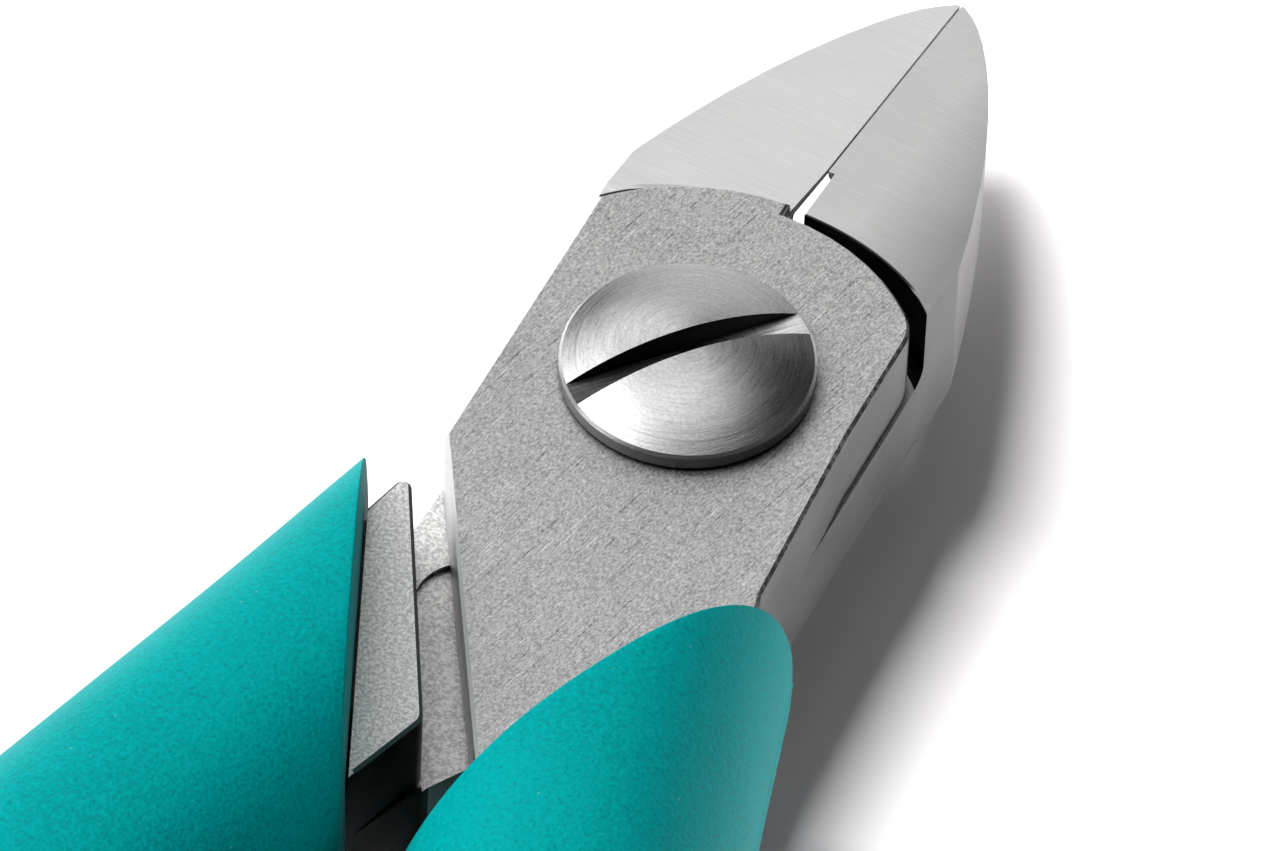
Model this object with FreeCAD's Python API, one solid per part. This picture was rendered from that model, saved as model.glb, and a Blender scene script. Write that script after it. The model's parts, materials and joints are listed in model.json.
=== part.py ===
import FreeCAD, Part
import math
import os
from FreeCAD import Rotation, Vector

# Lap-joint flush cutter, closed. Lengths are millimetres, angles are degrees.
# Every piece is drawn about the pivot axis, with z = 0 on the plane where the two halves lap and
# +Y towards the jaw tips. export_node() then moves it to the part's frame, whose origin is the
# middle of the whole tool's base.
# The upper half has the left jaw and the right handle. Apart from its jaw and the rear end of its
# lap plate, the lower half is the upper half turned half a turn about Y.

# ---- driving dimensions: the whole tool ----
OVERALL_LENGTH = 115.0
TIP_REACH = 18.55           # pivot axis to jaw tips
GRIP_HALF_THICKNESS = 7.1   # at its thickest, so the tool lies on its grips at this depth
PIVOT_Y = OVERALL_LENGTH / 2 - TIP_REACH
LAP_Z = GRIP_HALF_THICKNESS

FAR_AWAY = 200.0            # larger than the tool, for cutting blocks
TOUCH = 0.01                # points nearer than this are the same point

# ---- driving dimensions: head ----
HALF_T = 2.7                # half of the head's thickness
LAP_GAP = 0.03              # running gap between the two lap faces
OWN_HALF_W = 5.03           # head's half width on the side of a half's own jaw
FAR_HALF_W = 4.93           # and on the other side
BOSS_OWN_R = 7.0            # lap boss where it stands above its own jaw
BOSS_FAR_R = 6.55           # lap boss where it turns inside the other jaw's shoulder
SHOULDER_R = 7.08           # jaw shoulder round the other half's boss
SHOULDER_FILLET = 0.5
BOSS_CORNER_R = 1.4
EDGE_CHAMFER = 0.1
CHEEK_CORNER = (-OWN_HALF_W, -5.0)      # where a lap plate's side meets its slanted rear edge
UPPER_CHEEK_REAR = (0.68, -14.9)        # rear end of that edge on each half
LOWER_CHEEK_REAR = (0.92, -14.4)
SIDE_KINK = (5.22, -6.3)                # where the head's other side turns out towards the shank
SLAB_FRONT = (5.32, -6.58)              # front corner of a shank's far layer
SLAB_REAR = (1.1, -14.45)
SLAB_FRONT_R = 0.25
SLAB_REAR_R = 0.55
POCKET_DEPTH = 0.2          # relief milled in the lap face beside the shank
POCKET_R = 1.5
POCKET_START = 2.67         # from the slab's front corner to the pocket's first full width
POCKET_LENGTH = 12.0
SLAB_CHAMFER = 0.1

# ---- driving dimensions: jaws ----
JAW_SLOPE = 13.2            # fall of the jaws' flush top face towards the tips
SLOPE_START_Y = 5.38
# the right jaw's side, from the head to the tip
JAW_OUTLINE = [
    (OWN_HALF_W, 7.1),
    (4.42, 9.5),
    (3.65, 12.0),
    (2.72, 14.4),
    (1.42, 17.0),
    (0.62, 18.1),
    (0.12, TIP_REACH),
]
EDGE_GAP = 0.03             # each cutting edge to the middle plane
NOTCH_FRONT_Y = 9.3         # the cutting edges end here, in front of a small see-through notch
NOTCH_REAR_Y = 6.9
LEFT_NOTCH_X = 0.12         # left jaw's rear corner of the notch
RIGHT_NOTCH_X = 0.3         # right jaw's side of the notch, at the rear
RIGHT_NOTCH_FRONT_X = 0.23  # and at the front
BEVEL_LAND = 0.15           # thickness left at the cutting edge
BEVEL_ANGLE = 35.0          # of the underside bevel from vertical
BEVEL_START_Y = 7.4
BELLY_SLOPE = 2.0           # rise of the jaws' underside towards the tips
BELLY_START_Y = 8.0
JAW_ROOT_OVERLAP = 0.02     # how far a jaw reaches into its own half's boss

# ---- driving dimensions: pivot ----
HEAD_R = 3.6
HEAD_RIM_T = 0.45
DOME_RISE = 0.85
HEAD_UNDERCUT = 0.12        # the head stands on a smaller ring, which leaves a fine groove
HEAD_RING_R = 3.3
HEAD_CHAMFER = 0.08
SLOT_W = 0.8
SLOT_ANGLE = 48.5
BARREL_R = 2.2              # plain shoulder that the upper half turns on
BARREL_END_Z = -0.6
PIVOT_CLEARANCE = 0.03
THREAD_R = 1.5
THREAD_END_INSET = 0.2
NUT_R = 3.1
SPANNER_HOLE_R = 0.45
SPANNER_HOLE_DEPTH = 0.9
SPANNER_HOLE_SPREAD = 2.25

# ---- driving dimensions: handles ----
# The right grip's plan and thickness, from the front to the rear:
# (distance behind the pivot, outer x, inner x, half thickness)
GRIP_STATIONS = [
    (0.0, 4.7, -3.6, 5.8),
    (7.0, 6.55, -2.3, 6.65),
    (14.0, 8.5, -1.1, 6.95),
    (20.0, 10.3, 0.3, 7.1),
    (30.0, 13.4, 2.7, 7.05),
    (40.0, 16.2, 5.0, 6.8),
    (50.0, 18.3, 7.2, 6.6),
    (60.0, 19.8, 9.2, 6.5),
    (70.0, 20.6, 10.6, 6.5),
    (80.0, 20.75, 11.5, 6.4),
    (88.0, 20.2, 12.1, 6.0),
    (93.0, 19.3, 12.9, 5.1),
    (95.6, 18.2, 13.9, 3.7),
    (OVERALL_LENGTH - TIP_REACH, 16.9, 15.2, 1.7),
]
GRIP_MOUTH = (6.35, -7.1)   # outer end of the oblique front cut
GRIP_MOUTH_ANGLE = 23.0     # of that cut from the tool's length, in plan
TANG_HALF_T = 2.2           # the tang is thinner than the head, from just before the grip's mouth
TANG_STEP = 0.05
SHANK_OUTER = (6.95, -13.0)  # a point on the shank's outer side
SHANK_INNER = (1.95, -17.0)
TANG_START = 20.0           # distances behind the pivot
TANG_END = 80.0
TANG_FRONT_HALF_W = 2.5
TANG_REAR_HALF_W = 1.9
CORE_SHARE = 0.68           # the hard liner's section as a share of the grip's
LINER_END = 93.0

# ---- driving dimensions: leaf springs ----
LEAF_T = 0.5
LEAF_HALF_H = 1.9
LEAF_STEPS = 16
LEAF_PATH = [
    (3.15, -22.0),
    (4.58, -27.0),
    (4.9, -31.0),
    (3.6, -36.5),
    (1.5, -42.0),
    (0.4, -47.0),
    (0.75, -50.5),
]
WINDOW_START = 21.6         # opening in the grip's inner side for the leaf
WINDOW_END = 37.5
WINDOW_MOUTH_X = -5.0       # past the grip's inner side
WINDOW_FLOOR_X = (4.5, 8.5)     # as deep as the tang's middle, at the window's start and end
RIVET_Y = (-23.4, -26.0)
RIVET_R = 0.7
RIVET_HEAD_R = 1.15
RIVET_HEAD_T = 0.35
RIVET_HEAD_FILLET = 0.28
RIVET_DEPTH = 1.6


def point(xy, z=0.0):
    """A vector from a plan position and a height."""
    return Vector(xy[0], xy[1], z)


def polygon(points):
    """Closed wire through plan positions."""
    corners = [point(xy) for xy in points]
    return Part.makePolygon(corners + corners[:1])


def extrude(wire, low, high):
    """Upright solid between two heights from a closed plan wire."""
    face = Part.Face(wire)
    face.translate(Vector(0, 0, low))
    return face.extrude(Vector(0, 0, high - low))


def box(x0, x1, y0, y1, z0, z1):
    return Part.makeBox(x1 - x0, y1 - y0, z1 - z0, Vector(x0, y0, z0))


def cylinder(radius, low, high, x=0.0, y=0.0):
    return Part.makeCylinder(radius, high - low, Vector(x, y, low))


def spline(points):
    """Smooth open edge through plan positions."""
    curve = Part.BSplineCurve()
    curve.interpolate([point(xy) for xy in points])
    return curve.toShape()


def line(start, end):
    return Part.makeLine(point(start), point(end))


def turned(shape):
    """The same piece on the other half: half a turn about Y."""
    copy = shape.copy()
    copy.rotate(Vector(0, 0, 0), Vector(0, 1, 0), 180)
    return copy


def edges_where(shape, test):
    """Edges whose two ends both pass the test."""
    return [e for e in shape.Edges if all(test(v.Point) for v in e.Vertexes)]


# ---- handle plan, shared by the tang, the liner and the grip ----

def tang_half_width(behind):
    share = (behind - TANG_START) / (TANG_END - TANG_START)
    return TANG_FRONT_HALF_W + share * (TANG_REAR_HALF_W - TANG_FRONT_HALF_W)


def tang_side(sign):
    """Plan positions along one side of the right tang, from the front to the rear."""
    rows = [row for row in GRIP_STATIONS if TANG_START <= row[0] <= TANG_END]
    return [((outer + inner) / 2 + sign * tang_half_width(y), -y) for y, outer, inner, _ in rows]


def tang():
    """The right tang, as thick as the head, from where the shank's straight sides end."""
    outer = [SHANK_OUTER] + tang_side(1)
    inner = [SHANK_INNER] + tang_side(-1)
    end_x = (outer[-1][0] + inner[-1][0]) / 2
    tail = point((end_x, -TANG_END - TANG_REAR_HALF_W))
    round_end = Part.Arc(point(outer[-1]), tail, point(inner[-1])).toShape()
    edges = [line(SHANK_INNER, SHANK_OUTER), spline(outer), round_end, spline(inner)]
    return extrude(Part.Wire(Part.__sortEdges__(edges)), -HALF_T, HALF_T)


def behind_mouth(offset):
    """Everything behind the right grip's oblique front cut, or behind a plane moved back from it."""
    angle = math.radians(GRIP_MOUTH_ANGLE)
    normal = Vector(-math.cos(angle), math.sin(angle), 0)
    block = box(-FAR_AWAY, FAR_AWAY, -FAR_AWAY, 0, -FAR_AWAY, FAR_AWAY)
    block.Placement = FreeCAD.Placement(
        point(GRIP_MOUTH) - normal * offset, Rotation(Vector(0, 1, 0), normal)
    )
    return block


# ---- the two forged halves ----

def lap_plate(cheek_rear):
    """Upper half's lap plate with the upper layer of its shank and tang."""
    low = LAP_GAP / 2
    far_corner_y = math.sqrt(BOSS_FAR_R ** 2 - FAR_HALF_W ** 2)
    own_boss = cylinder(BOSS_OWN_R, low, HALF_T).common(
        box(-OWN_HALF_W, -LEFT_NOTCH_X, 0, BOSS_OWN_R, low, HALF_T)
    )
    far_boss = cylinder(BOSS_FAR_R, low, HALF_T).common(
        box(-LEFT_NOTCH_X, FAR_HALF_W, 0, BOSS_FAR_R, low, HALF_T)
    )
    corner = edges_where(far_boss, lambda p: p.x > FAR_HALF_W - TOUCH and p.y > far_corner_y - TOUCH)
    far_boss = far_boss.makeFillet(BOSS_CORNER_R, corner)
    front = [(FAR_HALF_W, 0), (-OWN_HALF_W, 0)]
    sides = front + [CHEEK_CORNER, cheek_rear, SHANK_INNER, SHANK_OUTER, SIDE_KINK]
    straight = extrude(polygon(sides), low, HALF_T)
    plate = own_boss.fuse([far_boss, straight]).removeSplitter().Solids[0]
    return chamfered(plate, HALF_T, EDGE_CHAMFER).cut(relief_pocket())


def chamfered(shape, z, size):
    """Chamfer a head piece's edges at one height, except where the tang carries on from it."""
    level = edges_where(shape, lambda p: abs(p.z - z) < TOUCH)
    join = (point(SHANK_INNER, z) + point(SHANK_OUTER, z)) / 2
    return shape.makeChamfer(size, [e for e in level if (e.CenterOfMass - join).Length > TOUCH])


def relief_pocket():
    """Shallow pocket in the upper half's lap face, along its shank, with a round front end."""
    along = (point(SLAB_REAR) - point(SLAB_FRONT)).normalize()
    across = Vector(-along.y, along.x, 0)
    if across.x > 0:
        across = -across
    middle = point(SLAB_FRONT) + along * POCKET_START + across * POCKET_R
    top = LAP_GAP / 2 + POCKET_DEPTH
    strip = Part.makeBox(POCKET_LENGTH, 2 * POCKET_R, top, Vector(0, -POCKET_R, 0))
    strip.Placement = FreeCAD.Placement(middle, Rotation(Vector(1, 0, 0), along))
    return strip.fuse(cylinder(POCKET_R, 0, top, middle.x, middle.y))


def shank():
    """Lower layer of the upper half's shank, behind the lower half's lap plate."""
    slab = extrude(polygon([SLAB_FRONT, SLAB_REAR, SHANK_INNER, SHANK_OUTER]), -HALF_T, LAP_GAP / 2)
    for corner, radius in ((SLAB_FRONT, SLAB_FRONT_R), (SLAB_REAR, SLAB_REAR_R)):
        upright = edges_where(slab, lambda p: (Vector(p.x, p.y, 0) - point(corner)).Length < TOUCH)
        slab = slab.makeFillet(radius, upright)
    return chamfered(slab, -HALF_T, SLAB_CHAMFER)


def jaw(side):
    """Jaw blank on the left (side -1) or right (side 1), before the laps are cleared."""
    notch = [(-EDGE_GAP, NOTCH_FRONT_Y), (-LEFT_NOTCH_X, NOTCH_REAR_Y), (-LEFT_NOTCH_X, 0)]
    if side > 0:
        notch = [
            (EDGE_GAP, NOTCH_FRONT_Y),
            (RIGHT_NOTCH_FRONT_X, NOTCH_FRONT_Y),
            (RIGHT_NOTCH_X, NOTCH_REAR_Y),
            (RIGHT_NOTCH_X, 0),
        ]
    outer = [(side * x, y) for x, y in JAW_OUTLINE]
    straight = [outer[-1], (side * EDGE_GAP, TIP_REACH)] + notch + [(side * OWN_HALF_W, 0), outer[0]]
    edges = [spline(outer)] + [line(a, b) for a, b in zip(straight[:-1], straight[1:])]
    blank = extrude(Part.Wire(Part.__sortEdges__(edges)), -HALF_T, HALF_T)
    above = tilted_block(Vector(0, SLOPE_START_Y, HALF_T), -JAW_SLOPE, 0, TIP_REACH)
    below = tilted_block(Vector(0, BELLY_START_Y, -HALF_T), BELLY_SLOPE, -TIP_REACH, 0)
    return blank.cut(above).cut(below).cut(edge_bevel(side))


def tilted_block(start, angle, low, high):
    """Cutting block in front of a point on a jaw, between two heights, tilted about that point."""
    block = box(-TIP_REACH, TIP_REACH, 0, 2 * TIP_REACH, low, high)
    block.translate(start)
    block.rotate(start, Vector(1, 0, 0), angle)
    return block


def edge_bevel(side):
    """Material to take off under one cutting edge, which leaves a flush top face and a V below."""
    depth = 4 * HALF_T
    reach = depth * math.tan(math.radians(BEVEL_ANGLE))
    top = HALF_T - BEVEL_LAND
    corners = [(-side, top), (0, top), (side * reach, top - depth), (-side, top - depth)]
    section = Part.makePolygon([Vector(x, BEVEL_START_Y, z) for x, z in corners + corners[:1]])
    wedge = Part.Face(section).extrude(Vector(0, TIP_REACH, 0))
    wedge.rotate(Vector(0, SLOPE_START_Y, HALF_T), Vector(1, 0, 0), -JAW_SLOPE)
    return wedge


def shoulder_cutter():
    """Clears the upper layer for the upper half's boss, and leaves a fillet at the shoulder's foot."""
    disc = cylinder(SHOULDER_R, -LAP_GAP / 2, 2 * HALF_T)
    foot = [e for e in disc.Edges if e.Closed and e.CenterOfMass.z < 0]
    return disc.makeFillet(SHOULDER_FILLET, foot)


def forged_half(side):
    """Upper half (side -1) or lower half (side 1), still without its rivet holes."""
    cheek_rear = UPPER_CHEEK_REAR if side < 0 else LOWER_CHEEK_REAR
    body = lap_plate(cheek_rear).fuse([shank(), tang()])
    hidden = behind_mouth(-TANG_STEP)
    for low, high in ((TANG_HALF_T, 2 * HALF_T), (-2 * HALF_T, -TANG_HALF_T)):
        skin = box(-OVERALL_LENGTH, OVERALL_LENGTH, -FAR_AWAY, 0, low, high)
        body = body.cut(hidden.common(skin))
    own_core = cylinder(BOSS_OWN_R - JAW_ROOT_OVERLAP, LAP_GAP / 2, 2 * HALF_T)
    other_boss = turned(shoulder_cutter())
    if side > 0:
        body, own_core, other_boss = turned(body), turned(own_core), shoulder_cutter()
    return body.fuse(jaw(side).cut(other_boss).cut(own_core)).removeSplitter()


# ---- pivot ----

def pivot_screw():
    seat = HALF_T + PIVOT_CLEARANCE
    ring_top = seat + HEAD_UNDERCUT
    rim_top = ring_top + HEAD_RIM_T
    dome_r = HEAD_R - HEAD_CHAMFER
    sphere_r = (dome_r ** 2 + DOME_RISE ** 2) / (2 * DOME_RISE)
    half_way = dome_r / 2
    half_way_z = rim_top + DOME_RISE - sphere_r + math.sqrt(sphere_r ** 2 - half_way ** 2)
    corners = [
        (0, rim_top + DOME_RISE),
        (0, -HALF_T + THREAD_END_INSET),
        (THREAD_R, -HALF_T + THREAD_END_INSET),
        (THREAD_R, BARREL_END_Z),
        (BARREL_R, BARREL_END_Z),
        (BARREL_R, seat),
        (HEAD_RING_R, seat),
        (HEAD_RING_R, ring_top),
        (HEAD_R, ring_top),
        (HEAD_R, rim_top - HEAD_CHAMFER),
        (dome_r, rim_top),
    ]
    profile = [Vector(r, 0, z) for r, z in corners]
    dome = Part.Arc(profile[-1], Vector(half_way, 0, half_way_z), profile[0]).toShape()
    edges = [Part.makeLine(a, b) for a, b in zip(profile[:-1], profile[1:])] + [dome]
    screw = Part.Face(Part.Wire(edges)).revolve(Vector(0, 0, 0), Vector(0, 0, 1), 360)
    slot = box(-HEAD_R, HEAD_R, -SLOT_W / 2, SLOT_W / 2, rim_top, rim_top + 2 * DOME_RISE)
    slot.rotate(Vector(0, 0, 0), Vector(0, 0, 1), SLOT_ANGLE)
    return Part.makeSolid(screw).cut(slot)


def pivot_nut():
    nut = cylinder(NUT_R, -HALF_T, BARREL_END_Z)
    rim = [e for e in nut.Edges if e.Closed and e.CenterOfMass.z < BARREL_END_Z - TOUCH]
    nut = nut.makeChamfer(EDGE_CHAMFER, rim).cut(cylinder(THREAD_R, -2 * HALF_T, 2 * HALF_T))
    for side in (-1, 1):
        x = side * SPANNER_HOLE_SPREAD
        nut = nut.cut(cylinder(SPANNER_HOLE_R, -2 * HALF_T, -HALF_T + SPANNER_HOLE_DEPTH, x))
    return nut


# ---- right handle; the left one is the same, turned over ----

def handle_loft(stations, share):
    """Smooth solid through upright ellipses, each a share of the grip's section."""
    rings = []
    for behind, outer, inner, half_thickness in stations:
        middle = Vector((outer + inner) / 2, -behind, 0)
        top = middle + Vector(0, 0, share * half_thickness)
        side = middle + Vector(share * (outer - inner) / 2, 0, 0)
        rings.append(Part.Wire(Part.Ellipse(top, side, middle).toShape()))
    return Part.makeLoft(rings, True)


def leaf_window():
    """Opening from the middle of the tool to the tang, through the grip and its liner."""
    corners = [
        (WINDOW_MOUTH_X, -WINDOW_START),
        (WINDOW_FLOOR_X[0], -WINDOW_START),
        (WINDOW_FLOOR_X[1], -WINDOW_END),
        (WINDOW_MOUTH_X, -WINDOW_END),
    ]
    return extrude(polygon(corners), -TANG_HALF_T, TANG_HALF_T)


def leaf_spring():
    curve = Part.BSplineCurve()
    curve.interpolate([point(xy) for xy in LEAF_PATH])
    first, last = curve.FirstParameter, curve.LastParameter
    sides = ([], [])
    for step in range(LEAF_STEPS + 1):
        at = first + (last - first) * step / LEAF_STEPS
        tangent = curve.tangent(at)[0]
        normal = Vector(-tangent.y, tangent.x, 0) * (LEAF_T / 2)
        middle = curve.value(at)
        sides[0].append((middle.x + normal.x, middle.y + normal.y))
        sides[1].append((middle.x - normal.x, middle.y - normal.y))
    ends = [line(sides[0][0], sides[1][0]), line(sides[0][-1], sides[1][-1])]
    wire = Part.Wire(Part.__sortEdges__([spline(sides[0]), spline(sides[1])] + ends))
    return extrude(wire, -LEAF_HALF_H, LEAF_HALF_H)


def rivets():
    """Two round-headed rivets through the leaf's root into the tang."""
    root, root_end = point(LEAF_PATH[0]), point(LEAF_PATH[1])
    along = (root_end - root).normalize()
    inward = Vector(along.y, -along.x, 0)
    made = []
    for y in RIVET_Y:
        middle = root + along * ((y - root.y) / along.y)
        face = middle + inward * (LEAF_T / 2)
        stem = Part.makeCylinder(RIVET_R, RIVET_DEPTH + LEAF_T, face, -inward)
        head = Part.makeCylinder(RIVET_HEAD_R, RIVET_HEAD_T, face, inward)
        rim = [e for e in head.Edges if e.Closed and (e.CenterOfMass - face).Length > RIVET_HEAD_T / 2]
        made.append(stem.fuse(head.makeFillet(RIVET_HEAD_FILLET, rim)))
    return made


# ---- assembly ----

def export_node(name, shape):
    """Write one node's STEP in the part's frame, and say what it is."""
    moved = shape.copy()
    moved.translate(Vector(0, PIVOT_Y, LAP_Z))
    moved.exportStep("parts/" + name + ".step")
    print(f"{name:22s} solids {len(moved.Solids)} valid {moved.isValid()} volume {moved.Volume:9.2f}")


upper = forged_half(-1).cut(cylinder(BARREL_R + PIVOT_CLEARANCE, -2 * HALF_T, 2 * HALF_T))
lower = forged_half(1).cut(cylinder(BARREL_R, BARREL_END_Z, 2 * HALF_T))
lower = lower.cut(cylinder(NUT_R, -2 * HALF_T, BARREL_END_Z))

right_rivets = rivets()
left_rivets = [turned(rivet) for rivet in right_rivets]
upper = upper.cut(right_rivets)
lower = lower.cut(left_rivets)

leaf = leaf_spring().cut(right_rivets).cut(upper)
liner_rows = [row for row in GRIP_STATIONS if TANG_START <= row[0] <= LINER_END]
liner_blank = handle_loft(liner_rows, CORE_SHARE)
liner = liner_blank.cut(upper).cut(right_rivets).cut(leaf_window())
grip = handle_loft(GRIP_STATIONS, 1.0).common(behind_mouth(0))
grip = grip.cut(liner_blank).cut(upper).cut(right_rivets).cut(leaf_window())

NODES = {
    "upper_half": upper,
    "lower_half": lower,
    "pivot_screw": pivot_screw(),
    "pivot_nut": pivot_nut(),
    "right_grip": grip,
    "left_grip": turned(grip),
    "right_grip_core": liner,
    "left_grip_core": turned(liner),
    "right_leaf_spring": leaf,
    "left_leaf_spring": turned(leaf),
    "right_spring_rivets": Part.makeCompound(right_rivets),
    "left_spring_rivets": Part.makeCompound(left_rivets),
}

os.makedirs("parts", exist_ok=True)
for name, shape in NODES.items():
    export_node(name, shape)
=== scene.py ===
import json
import math

import bmesh
import bpy
from mathutils import Matrix, Vector


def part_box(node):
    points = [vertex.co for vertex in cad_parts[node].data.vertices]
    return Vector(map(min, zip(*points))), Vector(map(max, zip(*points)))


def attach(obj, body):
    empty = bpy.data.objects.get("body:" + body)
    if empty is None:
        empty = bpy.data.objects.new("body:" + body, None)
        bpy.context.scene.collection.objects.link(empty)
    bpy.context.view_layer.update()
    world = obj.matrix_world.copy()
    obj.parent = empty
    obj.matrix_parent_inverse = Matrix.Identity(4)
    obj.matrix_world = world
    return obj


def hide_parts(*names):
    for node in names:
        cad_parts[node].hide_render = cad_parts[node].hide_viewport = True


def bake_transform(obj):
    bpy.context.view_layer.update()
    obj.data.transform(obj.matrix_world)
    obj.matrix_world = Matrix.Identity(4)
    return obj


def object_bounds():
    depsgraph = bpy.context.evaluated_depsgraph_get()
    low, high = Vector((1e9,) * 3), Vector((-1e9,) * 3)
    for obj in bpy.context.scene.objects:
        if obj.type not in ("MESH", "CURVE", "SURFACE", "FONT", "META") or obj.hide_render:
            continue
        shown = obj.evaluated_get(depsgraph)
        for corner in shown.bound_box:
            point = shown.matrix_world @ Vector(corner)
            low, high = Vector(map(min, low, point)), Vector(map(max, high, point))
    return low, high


# Lap-joint flush cutter lying on its grips, seen from above its handles.
# Shapes are worked out in millimetres about the pivot axis, with z = 0 where the two halves lap,
# and placed in the frame's metres by place().

MM = 0.001

# ---- camera, about the pivot at the height of the lap plate's top ----
CAMERA_AZIMUTH = 23.535
CAMERA_ELEVATION = 49.406
CAMERA_ROLL = 2.531
CAMERA_DISTANCE = 0.3949
CAMERA_LENS = 401.78
CAMERA_AIM = (-0.3507, -2.3259)     # in millimetres from the pivot axis
SENSOR_WIDTH = 36.0
CLIP_START = 0.01

# ---- grips ----
# The right grip's plan and thickness, from the front to the rear:
# (distance behind the pivot, outer x, inner x, half thickness)
GRIP_STATIONS = [
    (0.0, 4.7, -3.6, 5.8),
    (7.0, 6.55, -2.3, 6.65),
    (14.0, 8.5, -1.1, 6.95),
    (20.0, 10.3, 0.3, 7.1),
    (30.0, 13.4, 2.7, 7.05),
    (40.0, 16.2, 5.0, 6.8),
    (50.0, 18.3, 7.2, 6.6),
    (60.0, 19.8, 9.2, 6.5),
    (70.0, 20.6, 10.6, 6.5),
    (80.0, 20.75, 11.5, 6.4),
    (88.0, 20.2, 12.1, 6.0),
    (93.0, 19.3, 12.9, 5.1),
    (95.6, 18.2, 13.9, 3.7),
    (96.45, 16.9, 15.2, 1.7),
]
GRIP_ROUNDNESS = 2.3        # exponent of the grip's section: 2 is an ellipse
GRIP_AROUND = 144           # points round the section
GRIP_RINGS = 150
SMOOTH_ANGLE = 40.0         # edges sharper than this many degrees are shaded sharp
MOUTH_CORNER = (6.35, -7.1)
MOUTH_ANGLE = 23.0          # of the oblique front cut from the tool's length, in plan
MOUTH_DRAFT = 0.9           # the cut falls back above and below the lap plane
MOUTH_SEARCH = (0.0, 60.0)  # the skin meets the cut somewhere in this distance behind the pivot
MOUTH_HALVINGS = 40
RIM_RADIUS = 0.06
RIM_SEGMENTS = 3
TANG_HALF_T = 2.2
TANG_MOUTH = (1.35, 11.0)   # where the tang enters the mouth, from its outer corner
TANG_SQUARENESS = 0.2       # exponent of the hole's rounded rectangle: 0 is a sharp one
TANG_HOLE_DEPTH = 1.2
CORE_SHARE = 0.68           # the hollow for the hard liner, as a share of the section
CORE_ROUNDNESS = 2.0
CORE_START = 22.0
CORE_END = 93.0
CORE_STEP = 3.55
END_DOME = 0.12             # how far the grip's end stands out of its last ring
CORE_DOME = 0.3
# opening in the grip's inner side for the leaf spring
WINDOW = [(-5.0, -21.45), (4.4, -21.45), (8.6, -37.65), (-5.0, -37.65)]
WINDOW_HALF_H = 2.35
WINDOW_CORNER_R = 0.5
WINDOW_SEGMENTS = 4
SEAM_WIDTH = 0.12           # fine mould seam round the grip at the lap plane
SEAM_HEIGHT = 0.035
SEAM_CROWDING = 0.42        # how much closer the points round the section are at the seam

# ---- leaf springs ----
LEAF_PATH = [
    (3.15, -22.0),
    (4.58, -27.0),
    (4.9, -31.0),
    (3.6, -36.5),
    (1.5, -42.0),
    (0.4, -47.0),
    (0.75, -50.5),
]
LEAF_HALF_T = 0.25
LEAF_HALF_H = 1.9
LEAF_STEPS = 90
LEAF_EDGE = 0.09            # rounding along the leaf's long edges
LEAF_TIP_TAPER = 6.0        # length over which the tip narrows
LEAF_TIP_HALF_H = 1.35
LEAF_PROBE = 0.01           # step along the leaf's points that gives its direction
LEAF_CORNER_POINTS = 4

# ---- screw ----
SLOT_ANGLE = 48.5           # of the screw's slot, in plan
SCREW_RIM = 0.6             # height of the screw's rim, and its slot's floor, above the lap plate

# ---- steel halves ----
# (node, material, height of the blasting's grain, start of the coarser blasting behind the pivot,
# the jaw top's shades beside the cutting edge and beside the outer side, where a fall between
# them is painted shade)
HALVES = [
    ("upper_half", "forged_steel_upper", 0.012, 40.0, (0.83, 0.83)),
    ("lower_half", "forged_steel_lower", 0.014, 4.0, (0.70, 0.37)),
]

# ---- studio ----
FLOOR_HALF_SIZE = 1.5
WORLD_BASE = 0.05
# (azimuth, elevation, angle to the edge of full brightness, angle to its end, strength)
WORLD_PANELS = [
    (-110.0, 48.0, 15.0, 27.0, 4.8),
    (-57.0, 48.0, 12.0, 30.0, 1.2),
    (-20.0, 18.0, 14.0, 28.0, 0.83),
    (-14.0, 79.0, 15.0, 22.0, 1.15),
    (-79.0, 5.0, 4.0, 10.0, 1.5),
]
FLOOR_LIGHT_AZIMUTH = -97.0
FLOOR_LIGHT_ELEVATION = 76.0
FLOOR_LIGHT_DISTANCE = 0.35     # metres, as is the size
FLOOR_LIGHT_SIZE = 0.10
FLOOR_LIGHT_RADIANCE = 75.0

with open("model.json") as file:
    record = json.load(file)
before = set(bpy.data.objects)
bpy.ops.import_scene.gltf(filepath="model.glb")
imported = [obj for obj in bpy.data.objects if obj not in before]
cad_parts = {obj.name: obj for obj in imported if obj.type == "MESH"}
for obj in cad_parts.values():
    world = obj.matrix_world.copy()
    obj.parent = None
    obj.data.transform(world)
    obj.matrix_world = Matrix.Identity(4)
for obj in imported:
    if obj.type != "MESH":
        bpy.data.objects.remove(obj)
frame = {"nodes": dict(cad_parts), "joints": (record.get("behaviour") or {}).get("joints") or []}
cad_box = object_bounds()

pivot = Vector(frame["joints"][0]["pos_m"])
plate_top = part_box("upper_half")[1].z
SLOT_FLOOR_Z = plate_top / MM + SCREW_RIM


def place(point_mm):
    """A point about the pivot, in millimetres, as a point of the frame."""
    return pivot + Vector(point_mm) * MM


# ---- mesh helpers ----

def shade_smooth(mesh):
    """Smooth shading, except across sharp edges."""
    for face in mesh.polygons:
        face.use_smooth = True
    mesh.set_sharp_from_angle(angle=math.radians(SMOOTH_ANGLE))


def mesh_object(name, work):
    """A new object from a bmesh."""
    mesh = bpy.data.meshes.new(name)
    bmesh.ops.recalc_face_normals(work, faces=work.faces)
    work.to_mesh(mesh)
    work.free()
    shade_smooth(mesh)
    made = bpy.data.objects.new(name, mesh)
    bpy.context.scene.collection.objects.link(made)
    return made


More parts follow.
